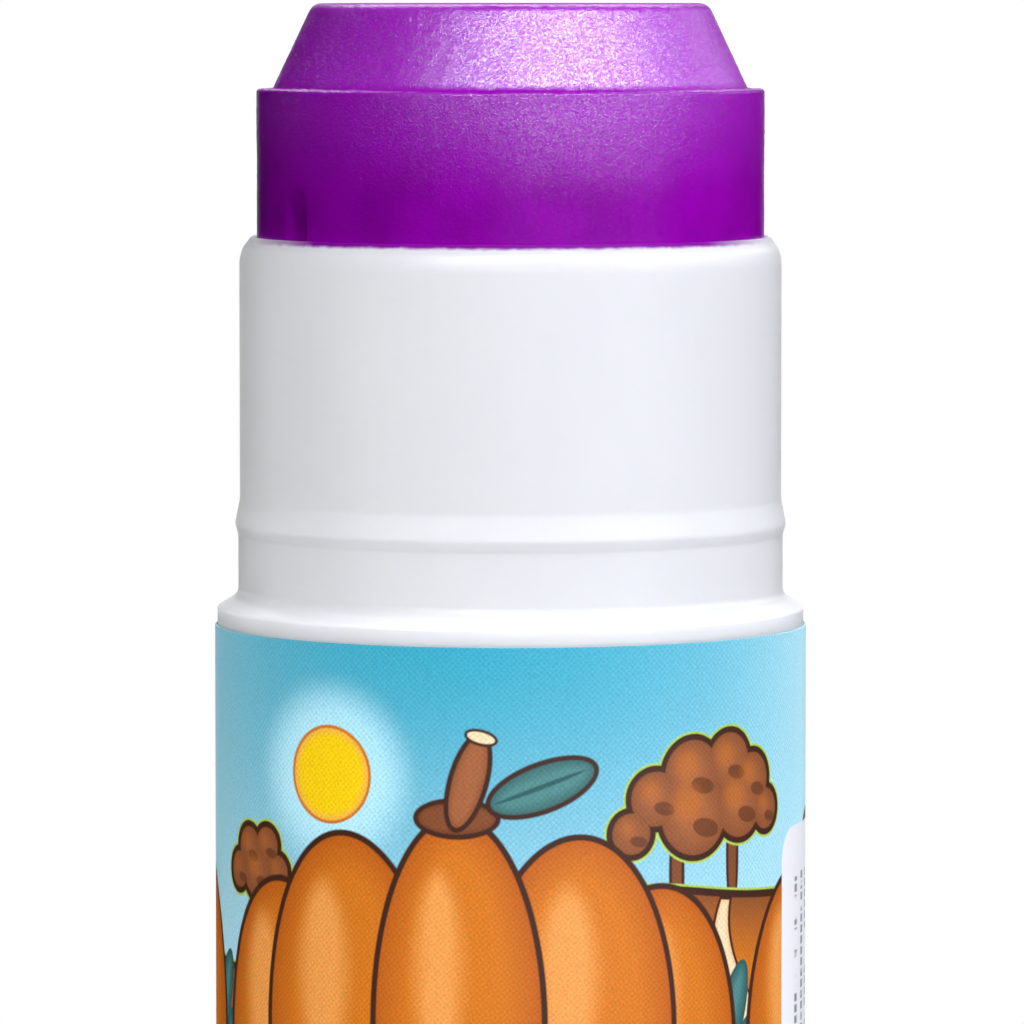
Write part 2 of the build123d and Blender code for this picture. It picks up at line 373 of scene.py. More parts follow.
# Leaves and lobes: a place, (half width, half height), and how far a leaf leans
bush_leaves = (
    ((-2.3, 57.0), (0.9, 2.4), -40),
    ((2.3, 56.9), (0.9, 2.3), 40),
    ((-1.3, 58.3), (0.9, 2.8), -20),
    ((1.3, 58.2), (0.9, 2.8), 20),
    ((0, 58.0), (0.9, 3.3), 0),
)
pumpkin_leaves = (((9.8, -4.0), (4.2, 2.2), 50), ((12.9, -4.8), (3.4, 1.8), 110))
pumpkin_lobes = (((8.0, -1.2), (3.9, 6.6)), ((4.7, -0.3), (4.1, 7.7)), ((0, 0), (3.5, 8.2)))
pumpkin_top = (
    ((0, 8.0), (1.7, 0.8), 0, stalk_foot_look),
    ((0.45, 9.4), (0.8, 2.0), 16, stalk_look),
    ((0.95, 11.1), (0.66, 0.32), 14, stalk_end_look),
    ((3.3, 9.2), (2.3, 1.0), -20, top_leaf_look),
    ((3.2, 9.2), (1.8, 0.09), -20, (dark_teal,)),
)

# Rows of pumpkins: a place along the film, how many go round it, their level and their size
pumpkin_rows = ((-2.4, 3, 58.4, 1.16), (-16.0, 4, 41.0, 0.72), (-3.0, 5, 27.0, 0.7))

# White panel with its lines of dashes
panel_place = (23.65, 42.2)
panel_halves = (8.35, 24.2)
panel_corner = 1.5
text_halves = (6.6, 22.0)
text_corner = 0.3
text_fade = 0.05
first_line = 18.5
line_pitch = 1.25
letter_pitch = 0.5
words_per_mm = 0.9
row_shift = 7.3
dash_share = (0.22, 0.16)
word_edge = (0.42, 0.47)
letter_edge = (-0.9, -0.4)
dash_ink = 0.85

# Surroundings: how bright the world is below and to the sides, what it adds above, and how dark it is in
# reflections, outside its white backdrop. Heights and directions are parts of a unit vector.
world_dark = 0.05
world_up = 0.16
ceiling_heights = (0.1, 0.8)
gloss_dark = 0.005
backdrop_edge = (0.96, 0.995)

# Floor, in metres: its half size, and where it fades to white for the camera and for all other rays
floor_half = 3.0
floor_fade = (0.12, 0.34)
floor_fade_unseen = (0.03, 0.12)
floor_grey = (0.82, 0.82, 0.82, 1)

# Soft boxes: azimuth and elevation, then distance, width and height in metres, radiance and colour
key_colour = (0.96, 0.98, 1.09)
soft_boxes = {
    "key": (26, 44, 0.5, 1.3, 0.13, 10.1, key_colour),
    "front_panel": (34, 9, 0.5, 0.75, 0.2, 1.45, key_colour),
    "right_side": (118, 22, 0.5, 0.55, 0.1, 1.6, key_colour),
    "back": (180, 45, 0.6, 0.45, 0.3, 6.0, (1, 1, 1)),
}

# Beams of light on the barrel alone: sizes in metres, and the radiance from each azimuth
beam_distance = 0.2
beam_width = 0.4
beam_height = 0.085
beam_level = 0.05
beam_spread = 1.0
beams = {-135: 0.22, -80: 0.32, -25: 0.14, 25: 0.09, 130: 0.27}

# Camera
sensor_width = 36.0
focal_share = 7480.0 / 1024
camera_distance = 340.9
camera_level = 104.0
camera_aim_level = 80.3
camera_side = 0.068
nearest_seen = 10.0


def rounded(corners, steps=6):
    """A closed outline of (radius, level) points. A corner's third number is the radius that rounds it."""
    outline = []
    for index, corner in enumerate(corners):
        here = Vector(corner[:2])
        if len(corner) < 3:
            outline.append(here)
            continue
        before = (Vector(corners[index - 1][:2]) - here).normalized()
        after = (Vector(corners[(index + 1) % len(corners)][:2]) - here).normalized()
        half_turn = before.angle(after) / 2
        centre = here + (before + after).normalized() * corner[2] / sin(half_turn)
        start = here + before * corner[2] / tan(half_turn) - centre
        sweep = start.angle_signed(here + after * corner[2] / tan(half_turn) - centre)
        for step in range(steps + 1):
            turn = -sweep * step / steps
            outline.append(centre + Vector((start.x * cos(turn) - start.y * sin(turn),
                                            start.x * sin(turn) + start.y * cos(turn))))
    return outline


def divided(outline, longest, wanted):
    """The outline, with the spans for which wanted(start, end) is true cut into steps up to a length."""
    points = []
    for index, point in enumerate(outline):
        points.append(point)
        following = outline[(index + 1) % len(outline)]
        count = ceil((following - point).length / longest) if wanted(point, following) else 1
        for step in range(1, count):
            points.append(point.lerp(following, step / count))
    return points


def add_piece(name, mesh):
    """A smooth-shaded object, in which the large faces stay flat."""
    mesh.shade_smooth()
    piece = bpy.data.objects.new(name, mesh)
    bpy.context.scene.collection.objects.link(piece)
    piece.modifiers.new("normals", "WEIGHTED_NORMAL").weight = 100
    return piece


def new_piece(name, points, faces):
    """A piece from points in millimetres."""
    mesh = bpy.data.meshes.new(name)
    mesh.from_pydata([Vector(point) * MM for point in points], [], faces)
    return add_piece(name, mesh)


def band(ring, onward):
    """The faces between two rings of points. One of the rings may be a single point on the axis."""
    segments = max(len(ring), len(onward))
    faces = []
    for segment in range(segments):
        following = (segment + 1) % segments
        corners = [ring[segment % len(ring)], onward[segment % len(onward)]]
        if len(onward) > 1:
            corners.append(onward[following])
        if len(ring) > 1:
            corners.append(ring[following])
        faces.append(corners)
    return faces


def spun(name, outline, shape=None, segments=360):
    """A closed piece made by turning an outline round the axis.

    shape(radius, level, angle) may give each point a new (radius, level).
    """
    points = []
    rings = []
    for radius, level in outline:
        on_axis = radius < tiny
        ring = []
        for segment in range(1 if on_axis else segments):
            angle = 360 * segment / segments
            place = (radius, level) if on_axis or shape is None else shape(radius, level, angle)
            ring.append(len(points))
            points.append((place[0] * sin(radians(angle)), -place[0] * cos(radians(angle)), place[1]))
        rings.append(ring)
    faces = []
    for index, ring in enumerate(rings):
        onward = rings[(index + 1) % len(rings)]
        if len(ring) > 1 or len(onward) > 1:
            faces.extend(band(ring, onward))
    return new_piece(name, points, faces)


def plate(name, size, place, edge):
    """A flat plate of a size in millimetres, moved by a matrix, with rounded edges."""
    mesh = bpy.data.meshes.new(name)
    shape = bmesh.new()
    bmesh.ops.create_cube(shape, size=1, matrix=place @ Matrix.Diagonal((*(part * MM for part in size), 1)))
    bmesh.ops.bevel(shape, geom=shape.edges, offset=edge * MM, segments=3, affect="EDGES", profile=0.5)
    shape.to_mesh(mesh)
    shape.free()
    return add_piece(name, mesh)


def smooth_step(value, start, end):
    """0 before start, 1 after end, and an S-curve between them."""
    share = min(1.0, max(0.0, (value - start) / (end - start)))
    return share * share * (3 - 2 * share)


def angle_from(angle, other):
    """The angle from one direction to another, from -180 to 180."""
    return (angle - other + 180) % 360 - 180


def ridge_at(radius, angle, width, slope):
    """1 on the middle of a guide rib or its groove, 0 beside it, and a slope of a given width between."""
    height = 0.0
    for index in range(rib_count):
        away = abs(radians(angle_from(angle, rib_angle + index * 360 / rib_count))) * radius
        height = max(height, 1 - smooth_step(away, width / 2 - slope / 2, width / 2 + slope / 2))
    return height


def lumps_at(place, per_millimetre, height):
    """A smooth random height, up or down, with a number of lumps to the millimetre."""
    return noise.noise(place * per_millimetre) * height


def make_barrel():
    """The moulded tube: neck, bead, shoulder, wall, web and guide ribs."""
    outline = rounded([
        (bore_radius, rim_level, lip_round),
        (bore_radius + lip_width, rim_level, lip_round),
        (neck_radius - nose_slope, rim_level - nose_drop, nose_round),
        (neck_radius, rim_level - nose_height, nose_foot_round),
        (neck_radius, neck_level, ramp_hollow),
        (bead_radius, bead_level, bead_round),
        (lower_neck_radius, bead_foot_level, bead_hollow),
        (lower_neck_radius, lower_neck_level, shoulder_hollow),
        (barrel_radius, shoulder_level, shoulder_round),
        (barrel_radius, barrel_foot, foot_chamfer),
        (bore_radius, barrel_foot, foot_chamfer),
        (bore_radius, web_foot, web_round),
        (journal_radius + journal_clearance, web_foot, web_round),
        (journal_radius + journal_clearance, web_foot + web_thickness, web_round),
        (bore_radius, web_foot + web_thickness, web_round),
        (bore_radius, rib_top - rib_taper),
        (bore_radius, rib_top),
    ])

    def with_ribs(radius, level, angle):
        """The bore between the web and the top of the ribs, with the ribs raised on it."""
        if abs(radius - bore_radius) > tiny or level < web_foot + web_thickness or level > rib_top:
            return radius, level
        fade = min(1.0, (rib_top - level) / rib_taper)
        return radius - rib_height * fade * ridge_at(radius, angle, rib_width, rib_slope), level

    piece = spun("barrel_shell", outline, with_ribs)
    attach(piece, "barrel")
    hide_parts("barrel")
    return piece


def worn_glue(radius, level, angle):
    """A point of the glue above its cup, moved by the guide ribs' grooves and by wear."""
    if level < cup_floor + cup_depth:
        return radius, level
    if radius < screw_hole_radius + screw_hole_margin and level < glue_top - flat_top_depth:
        return radius, level
    place = Vector((radius * sin(radians(angle)), radius * cos(radians(angle)), level))
    top_share = smooth_step(level, rim_level - worn_below_rim, ledge_level)
    lumps = lumps_at(place, *broad_lumps) + lumps_at(place, *small_lumps) * top_share
    drawn_out = Vector((place.x * streaks_across, place.y * streaks_across, level * streaks_along))
    streaks = lumps_at(drawn_out, 1, streak_height)
    crumbs = lumps_at(place, *crumb_lumps) * top_share

    fade = smooth_step(level, groove_top, groove_top - groove_fade)
    depth = (rib_height + rib_clearance - glue_clearance) * fade
    groove_width = rib_width + 2 * rib_clearance
    below_ledge = level < ledge_level - ledge_round
    groove = depth * ridge_at(radius, angle, groove_width, groove_slope) if below_ledge else 0

    to_ledge = smooth_step(level, ledge_level - worn_at_ledge, ledge_level)
    past_ledge = smooth_step(level, ledge_level, ledge_level + worn_at_ledge)
    dents = abs(lumps_at(place, *ledge_lumps)) * (to_ledge * (1 - past_ledge))
    return (radius + lumps + crumbs + streaks - groove - worn_off_side,
            level - dents + (crumbs - worn_off_top) * (level > ledge_level))


def make_glue():
    """The glue: cast round the screw and in the cup, with a ledge and a cone on top, and a little worn."""
    seen_level = rim_level - seen_depth

    def is_seen(start, end):
        """True for a span of the top or of the side above the depth that can be seen into."""
        is_side = min(start.y, end.y) >= seen_level and max(start.x, end.x) > cup_radius
        return is_side or start.y == end.y == glue_top

    outline = rounded([
        (0, glue_top),
        (cone_top_radius, glue_top, cone_top_round),
        (cone_foot_radius, ledge_level, cone_foot_round),
        (glue_radius, ledge_level, ledge_round),
        (glue_radius, seen_level),
        (glue_radius, cup_floor + cup_depth),
        (cup_radius, cup_floor + cup_depth),
        (cup_radius, cup_floor),
        (screw_hole_radius, cup_floor),
        (screw_hole_radius, screw_hole_top),
        (0, screw_hole_top),
    ])
    piece = spun("glue_mass", divided(outline, glue_grid, is_seen), worn_glue, segments=glue_segments)
    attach(piece, "carrier")
    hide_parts("glue")
    return piece


def make_label():
    """The film round the barrel: it starts at the back, goes once round and laps over its own start."""
    inner = label_radius - film_thickness
    lap_half = degrees(lap_width / 2 / label_radius)
    ramp = degrees(lap_ramp / label_radius)
    start = -180 + lap_half
    end = 180 + lap_half
    angles = [start + (end - start) * step / label_steps for step in range(label_steps + 1)]
    levels = [label_foot, label_foot + film_edge, label_top - film_edge, label_top]
    insets = [film_edge, 0, 0, film_edge]
    points = []
    for angle in angles:
        lift = lap_thickness * smooth_step(angle, 180 - lap_half - ramp, 180 - lap_half)
        sine, cosine = sin(radians(angle)), -cos(radians(angle))
        for level, inset in zip(levels, insets):
            outer_radius = inner + film_thickness + lift - inset
            points.append((outer_radius * sine, outer_radius * cosine, level))
        for level in (label_top, label_foot):
            points.append(((inner + lift) * sine, (inner + lift) * cosine, level))
    ring = len(levels) + 2
    faces = []
    for step in range(len(angles) - 1):
        base = step * ring
        for index in range(ring):
            onward = (index + 1) % ring
            faces.append([base + index, base + onward, base + ring + onward, base + ring + index])
    faces.append(list(range(ring)))
    faces.append([(len(angles) - 1) * ring + index for index in reversed(range(ring))])
    piece = new_piece("label_wrap", points, faces)
    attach(piece, "barrel")
    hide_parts("label")
    return piece


def make_knob():
    """The ribbed turning base: a shell open below, with a collar, a deck, a hub and webs."""
    skirt_radius = knob_radius - knob_wall
    deck_foot = knob_height - deck_thickness
    collar_radius = bore_radius - collar_clearance
    collar_top = knob_height + collar_height
    socket_radius = stub_flats / 2
    outline = divided(rounded([
        (knob_radius, knob_foot, knob_edge),
        (knob_radius, knob_height, knob_edge),
        (collar_radius, knob_height, knob_inner_edge),
        (collar_radius, collar_top, collar_chamfer),
        (collar_radius - collar_wall, collar_top, knob_inner_edge),
        (collar_radius - collar_wall, knob_height, knob_edge),
        (hub_radius, knob_height, knob_edge),
        (hub_radius, hub_top, knob_inner_edge),
        (socket_radius, hub_top, knob_inner_edge),
        (socket_radius, hub_rise, knob_inner_edge),
        (hub_radius, hub_rise, knob_inner_edge),
        (hub_radius, deck_foot, knob_edge),
        (skirt_radius, deck_foot, knob_edge),
        (skirt_radius, knob_foot, knob_inner_edge),
    ]), knob_grid, lambda start, end: min(start.x, end.x) > skirt_radius + knob_edge and start.x == end.x)

    def with_grooves(radius, level, angle):
        """The socket with its flats, and the skirt's outside with its grooves."""
        if radius < socket_radius + knob_inner_edge + tiny:
            side = 360 / stub_sides
            from_flat = radians((angle + side / 2) % side - side / 2)
            return radius / cos(from_flat), level
        if radius < knob_radius - knob_edge:
            return radius, level
        along = smooth_step(level, knob_foot + groove_margin - groove_run_out / 2,
                            knob_foot + groove_margin + groove_run_out / 2)
        along *= 1 - smooth_step(level, knob_height - groove_margin - groove_run_out / 2,
                                 knob_height - groove_margin + groove_run_out / 2)
        across = abs(angle_from(angle * groove_count, 0) / 180) / groove_share
        hollow = (1 - min(1.0, across) ** 2) ** groove_steepness
        return radius - groove_depth * hollow * along, level

    pieces = [spun("knob_shell", outline, with_grooves, segments=groove_count * groove_segments)]
    middle = (hub_radius + skirt_radius) / 2
    web_length = skirt_radius - hub_radius + 2 * web_sink
    web_height = deck_foot + web_sink - knob_web_rise
    for index in range(knob_web_count):
        turn = Matrix.Rotation(radians(360 * (index + 0.5) / knob_web_count), 4, "Z")
        move = Matrix.Translation(Vector((middle, 0, knob_web_rise + web_height / 2)) * MM)
        size = (web_length, knob_web_thickness, web_height)
        pieces.append(plate(f"knob_web_{index + 1}", size, turn @ move, knob_web_edge))
    for piece in pieces:
        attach(piece, "knob")
        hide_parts("knob")
    return pieces


class Field:
    """A number, vector, colour or shader at each point of a surface: the output of a node.

    Sums with it make new nodes.
    """

    def __init__(self, tree, socket):
        self.tree = tree
        self.socket = socket

    def math(self, operation, *others, clamp=False):
        """The result of a Math node on this field and others."""
        node = self.tree.nodes.new("ShaderNodeMath")
        node.operation = operation
        node.use_clamp = clamp
        for place, value in zip(node.inputs, (self, *others)):
            plug(self.tree, place, value)
        return Field(self.tree, node.outputs[0])

    def __add__(self, other):
        return self.math("ADD", other)

    def __sub__(self, other):
        return self.math("SUBTRACT", other)

    def __rsub__(self, other):
        return self.math("MULTIPLY_ADD", -1, other)

    def __mul__(self, other):
        return self.math("MULTIPLY", other)

    def __truediv__(self, other):
        return self.math("DIVIDE", other)

    def least(self, other):
        """The lower of two values."""
        return self.math("MINIMUM", other)

    def most(self, other):
        """The higher of two values."""
        return self.math("MAXIMUM", other)

    def ramp(self, start, end):
        """0 at start, 1 at end and straight between them."""
        return self.math("MULTIPLY_ADD", 1 / (end - start), -start / (end - start), clamp=True)

    def ease(self, start, end):
        """0 at start, 1 at end and an S-curve between them."""
        share = self.ramp(start, end)
        return share * share * (3 - share * 2)

    __radd__ = __add__
    __rmul__ = __mul__


def plug(tree, place, value):
    """Links a field to an input, or sets the input to a plain value."""
    if isinstance(value, Field):
        tree.links.new(value.socket, place)
    else:
        place.default_value = value


class Surface:
    """A node material made round one Principled shader."""

    def __init__(self, name, **values):
        self.material = bpy.data.materials.new(name)
        self.material.use_nodes = True
        self.tree = self.material.node_tree
        self.shader = self.tree.nodes["Principled BSDF"]
        for key, value in values.items():
            self.shader.inputs[key.replace("_", " ")].default_value = value
        self.place = self.output("ShaderNodeTexCoord", "Object")

    def output(self, kind, name, inputs=(), **settings):
        """The named output of a new node, with its inputs and settings."""
        node = self.tree.nodes.new(kind)
        for key, value in settings.items():
            setattr(node, key, value)
        for key, value in dict(inputs).items():
            plug(self.tree, node.inputs[key], value)
        return Field(self.tree, node.outputs[name])

    def axis(self, name):
        """One coordinate of the surface, in millimetres."""
        return self.output("ShaderNodeSeparateXYZ", name, {"Vector": self.place}) * (1 / MM)

    def radius(self):
        """The distance from the axis of the stick, in millimetres."""
        flat = self.vector("MULTIPLY", self.place, (1, 1, 0))
        return self.output("ShaderNodeVectorMath", "Value", {0: flat}, operation="LENGTH") * (1 / MM)

    def grain(self, size, detail=2.0, roughness=0.5, stretch=(1, 1, 1)):
        """Noise from 0 to 1 whose lumps are about the given size in millimetres."""
        scaled = self.vector("MULTIPLY", self.place, tuple(part / MM / size for part in stretch))
        inputs = {"Vector": scaled, "Scale": 1.0, "Detail": detail, "Roughness": roughness}
        return self.output("ShaderNodeTexNoise", 0, inputs)

    def vector(self, operation, first, second):
        """The result of a Vector Math node on two vectors."""
        return self.output("ShaderNodeVectorMath", "Vector", {0: first, 1: second}, operation=operation)

    def blend(self, share, first, second):
        """From the first colour to the second, as the share goes from 0 to 1.

        The Mix node's sockets for colours are its inputs 6 and 7 and its output 2.
        """
        node = self.tree.nodes.new("ShaderNodeMix")
        node.data_type = "RGBA"
        plug(self.tree, node.inputs["Factor"], share)
        plug(self.tree, node.inputs[6], first)
        plug(self.tree, node.inputs[7], second)
        return Field(self.tree, node.outputs[2])

    def tint(self, colour, red, green, blue):
        """The colour with its parts multiplied by three fields."""
        by = self.output("ShaderNodeCombineXYZ", "Vector", {"X": red, "Y": green, "Z": blue})
        return self.vector("MULTIPLY", colour, by)

    def drive(self, name, value):
        """Links a field to an input of the shader."""
        plug(self.tree, self.shader.inputs[name], value)

    def bump(self, height, distance):
        """Raises the surface by a height from 0 to 1 times the distance in millimetres."""
        inputs = {"Height": height, "Distance": distance * MM, "Strength": 1.0}
        self.drive("Normal", self.output("ShaderNodeBump", "Normal", inputs))


def dulled(colour, share, blue_share):
    """A colour with its red and green, and its blue, made lower."""
    return colour[0] * share, colour[1] * share, colour[2] * blue_share, 1.0


def rim_stain(surface):
    """1 where glue has rubbed off on the barrel: in front, on the lip of its rim."""
    radius = surface.radius() + (surface.grain(stain_lumps, detail=3.0) - 0.5) * stain_raggedness
    inwards = radius.ease(bore_radius + stain_width[0], bore_radius + stain_width[1])
    near_rim = surface.axis("Z").ramp(rim_level - stain_drop[0], rim_level - stain_drop[1])
    in_front = surface.axis("Y").ramp(*stain_front)
    return inwards * near_rim * in_front


def white_plastic(name, roughness, stained=False):
    """Moulded white polypropylene: a little translucent, with faint flow marks and fine handling marks."""
    surface = Surface(name, Subsurface_Weight=1.0, Subsurface_Radius=white_scatter,
                      Subsurface_Scale=white_depth)
    flow = surface.grain(flow_size, detail=3.0, stretch=(1, 1, 0.35))
    fine = surface.grain(fine_size, detail=2.0)
    scuffs = surface.grain(scuff_size, detail=4.0, roughness=0.7, stretch=(1, 1, 3.0))
    base = surface.blend(flow.ramp(*flow_fade), moulded_white, dulled(moulded_white, *flow_dulling))
    if stained:
        base = surface.blend(rim_stain(surface), base, glue_deep)
    surface.drive("Base Color", base)
    surface.drive("Roughness", roughness + (scuffs - 0.5) * scuff_share + (flow - 0.5) * flow_share)
    surface.bump(fine * fine_bump + flow * flow_bump, plastic_bump)
    return surface.material


def glue_material():
    """Solid purple glue: waxy and grained, and dry and frosted on its cone and towards its ledge, where its
    colour is painted paler as painted light from above.
    """
    surface = Surface("purple_glue", IOR=glue_index, Subsurface_Weight=0.15, Subsurface_Radius=glue_scatter,
                      Subsurface_Scale=glue_depth)
    level = surface.axis("Z")
    dry_and_lit = level.ease(ledge_level - dry_lit_from, ledge_level - dry_lit_full) * dry_lit_share + dry_lit_least
    worn_and_shaded = (level - ledge_level).math("ABSOLUTE").ramp(*ledge_shine) * worn_shaded_share + worn_shaded_least
    worn_and_shaded = worn_and_shaded.least(level.ramp(glue_top - top_shine[0], glue_top - top_shine[1]))
    cells = {"Vector": surface.place, "Scale": 1 / (cell_size * MM)}
    cell_colour = surface.output("ShaderNodeTexVoronoi", "Color", cells)
    grains = surface.output("ShaderNodeSeparateXYZ", "X", {"Vector": cell_colour})
    crystals = surface.grain(crystal_size, detail=3.0, roughness=0.65)
    patches = surface.grain(patch_size, detail=3.0)
    glints = crystals.ramp(*crystal_edge) * crystal_share + grains * grains * cell_share
    base = surface.blend(patches.ramp(*patch_edge), glue_fresh, glue_deep)
    # Painted light: the colour is blended towards a paler purple towards the ledge and on the cone, less on
    # the ledge band and the top
    surface.drive("Base Color", surface.blend(dry_and_lit * worn_and_shaded, base, glue_painted_light))
    surface.drive("Specular IOR Level", dry_and_lit * worn_and_shaded * (glints * glint_share + glint_least))
    surface.drive("Roughness", glue_roughness + (patches - 0.5) * patch_share)
    surface.bump((crystals + grains * cell_bump) * (dry_and_lit * dry_bump + least_bump), glue_bump)
    return surface.material


def inner_plastic(name, colour, roughness):
    """Moulded plastic of an inner part, with faint flow marks."""
    surface = Surface(name)
    flow = surface.grain(inner_flow_size, detail=3.0)
    fine = surface.grain(inner_fine_size)
    base = surface.blend(flow.ramp(*inner_flow_fade), colour, dulled(colour, *inner_dulling))
    surface.drive("Base Color", base)
    surface.drive("Roughness", roughness + (flow - 0.5) * inner_flow_share)
    surface.bump(fine, inner_bump)
    return surface.material


class Print(Surface):
    """A printed picture, painted shape over shape, in millimetres along the label from its front and up it.

    A shape is given by the distance from its edge, which is negative inside it.
    """

    def __init__(self, name, **values):
        super().__init__(name, **values)
        across = self.output("ShaderNodeSeparateXYZ", "X", {"Vector": self.place})
        away = self.output("ShaderNodeSeparateXYZ", "Y", {"Vector": self.place})
        self.along = across.math("ARCTAN2", away * -1) * label_radius
        self.up = self.axis("Z")
        self.here = self.spot(self.along, self.up)
        self.picture = None

    def repeated(self, centre, count):
        """The distance along the label from the nearest of a number of even places round it."""
        half = pi * label_radius / count
        return (self.along - centre).math("WRAP", half, -half)

    def spot(self, along, up):
        """A place on the label as a vector."""
        return self.output("ShaderNodeCombineXYZ", "Vector", {"X": along, "Y": up})

    def length(self, vector):
        """How long a vector is."""
        return self.output("ShaderNodeVectorMath", "Value", {0: vector}, operation="LENGTH")

    def disc(self, spot, centre, radius):
        """The distance from a circle."""
        return self.length(self.vector("SUBTRACT", spot, (*centre, 0))) - radius

    def oval(self, spot, centre, radii, lean=0):
        """The distance from an oval that leans by an angle."""
        away = self.vector("SUBTRACT", spot, (*centre, 0))
        if lean:
            inputs = {"Vector": away, "Angle": radians(lean)}
            away = self.output("ShaderNodeVectorRotate", "Vector", inputs, rotation_type="Z_AXIS")
        near = self.length(self.vector("DIVIDE", away, (*radii, 1)))
        steepness = self.length(self.vector("DIVIDE", away, (radii[0] ** 2, radii[1] ** 2, 1)))
        return near * (near - 1) / steepness

    def panel(self, spot, centre, halves, corner):
        """The distance from a rectangle with round corners, outside it."""
        away = self.vector("ABSOLUTE", self.vector("SUBTRACT", spot, (*centre, 0)), (0, 0, 0))
        past = self.vector("SUBTRACT", away, (halves[0] - corner, halves[1] - corner, 0))
        return self.length(self.vector("MAXIMUM", past, (0, 0, 0))) - corner

    def wave(self, count, crest, height):
        """A wave that goes a number of times round the label, with a crest at a place."""
        turn = count / label_radius
        return self.along.math("MULTIPLY_ADD", turn, -crest * turn).math("COSINE") * height

    def paint(self, distance, fill, brush=None, brush_width=0, line=None, line_width=0, share=1.0):
        """Paints a shape, with another colour brushed in from its edge, and a line along the edge."""
        colour = fill
        if brush:
            colour = self.blend(distance.ramp(-brush_width, 0), colour, brush)
        if line:
            colour = self.blend(distance.ramp(-line_width - ink_edge, -line_width + ink_edge), colour, line)
        self.picture = self.blend(distance.ramp(ink_edge, -ink_edge) * share, self.picture, colour)

    def spray(self, distance, colour, width, share=1.0):
        """Brushes a colour on softly: nothing at a shape's edge, and its full share a width inside it."""
        self.picture = self.blend(distance.ease(0, -width) * share, self.picture, colour)

    def screen(self, pitch, angle):
        """A printer's screen of dots, from -1 to 1."""
        parts = []
        for turn in (angle, angle + 90):
            along = self.along * (2 * pi / pitch * cos(radians(turn)))
            up = self.up * (2 * pi / pitch * sin(radians(turn)))
            parts.append((along + up).math("COSINE"))
        return (parts[0] + parts[1]) * 0.5


def paint_sky(art):
    """A blue sky, paler below and round the sun, and painted paler towards the sides and the back as a
    painted sheen of the film.
    """
    art.picture = art.blend(art.up.ease(*sky_fade), sky_low, sky_top)
    # Painted sheen: the sky is blended towards a pale colour away from the front, in place of the film's
    # shine seen at a slant
    turned = 0.5 - art.wave(1, least_sheen_place, 0.5)
    painted_sheen = (turned * (turned * sheen_curve[0] + sheen_curve[1])).least(sheen_most)
    art.picture = art.blend(painted_sheen, art.picture, sky_pale_and_sheen)
    sun = art.disc(art.here, sun_place, sun_radius)
    art.spray(sun - sun_glow, *sun_spray)
    art.paint(sun, *sun_look)


def paint_trees(art):
    """Groups of trees behind the hills."""
    for centre, trunks, leaves in tree_groups:
        local = art.spot(art.repeated(centre, 2), art.up)
        for place in trunks:
            art.paint(art.oval(local, place, trunk_radii), *trunk_look)
        trees = None
        for along, up, radius in leaves:
            tree = art.disc(local, (along, up), radius)
            trees = trees.least(tree) if trees else tree
        art.paint(trees - fringe_width, fringe)
        art.paint(trees, *tree_look)
        for along, up, radius in leaves:
            lit_place = (along + leaf_light_shift[0] * radius, up + leaf_light_shift[1] * radius)
            art.spray(art.disc(local, lit_place, radius * leaf_light_size), *tree_spray)
            dark_place = (along + leaf_dark_shift[0] * radius, up + leaf_dark_shift[1] * radius)
            dark_radii = (radius * leaf_dark_size[0], radius * leaf_dark_size[1])
            dark_spot = art.oval(local, dark_place, dark_radii, leaf_dark_lean)
            art.paint(dark_spot, dark_brown, share=spot_share)


def paint_hills(art):
    """Hills with furrows, and a path that winds down them."""
    crest = art.wave(*crest_wave) + art.wave(*crest_ripple) + hill_level
    below = art.up - crest
    art.paint(below - fringe_width, fringe)
    art.paint(below, *hill_look)
    furrow = (below + art.wave(*furrow_wave)).math("WRAP", furrow_pitch, -furrow_pitch).math("ABSOLUTE")
    art.paint((furrow - furrow_half).most(below - furrow_top), deep_orange, share=furrow_share)
    down = art.up * -1 + path_top
    bend = (down * path_bend).math("SINE") * path_swing
    path = (art.repeated(path_place, 2) + bend).math("ABSOLUTE") - (down * path_spread + path_half)
    art.paint(path.most(below + path_drop), *path_look)


def paint_bushes(art):
    """Bushes of long leaves on the hills."""
    local = art.spot(art.repeated(bush_place, 3), art.up)
    for place, radii, lean in bush_leaves:
        art.paint(art.oval(local, place, radii, lean), *bush_look)


def paint_pumpkin(art, local, mirrored):
    """A pumpkin about the origin of a local place. What the mirrored one holds shows on both sides."""
    for place, radii, lean in pumpkin_leaves:
        art.paint(art.oval(mirrored, place, radii, lean), *ground_leaf_look)
    for place, radii in pumpkin_lobes:
        art.paint(art.oval(mirrored, place, radii), *lobe_look)
        lit_radii = (radii[0] * lobe_light_size[0], radii[1] * lobe_light_size[1])
        for sign in (-1, 1) if place[0] else (1,):
            lit_along = place[0] * sign * lobe_light_spread + lobe_light_shift[0]
            lit = art.oval(local, (lit_along, place[1] + lobe_light_shift[1]), lit_radii)
            art.spray(lit, *lobe_spray)
    for place, radii, lean, look in pumpkin_top:
        art.paint(art.oval(local, place, radii, lean), *look)


def paint_pumpkins(art):
    """Rows of pumpkins, each row with its own size."""
    for centre, count, level, size in pumpkin_rows:
        side = art.repeated(centre, count) / size
        rise = (art.up - level) / size
        paint_pumpkin(art, art.spot(side, rise), art.spot(side.math("ABSOLUTE"), rise))


def print_dots(art):
    """The printer's screens of dots, and a speckle, on all that is painted so far."""
    speckle = art.grain(speckle_size, detail=1.0)
    cyan = art.screen(screen_pitch, cyan_angle)
    black = art.screen(screen_pitch, black_angle)
    dots = black * black_dots + (speckle - 0.5) * speckle_share + 1.0
    art.picture = art.tint(art.picture, dots + cyan * cyan_dots, dots, dots)


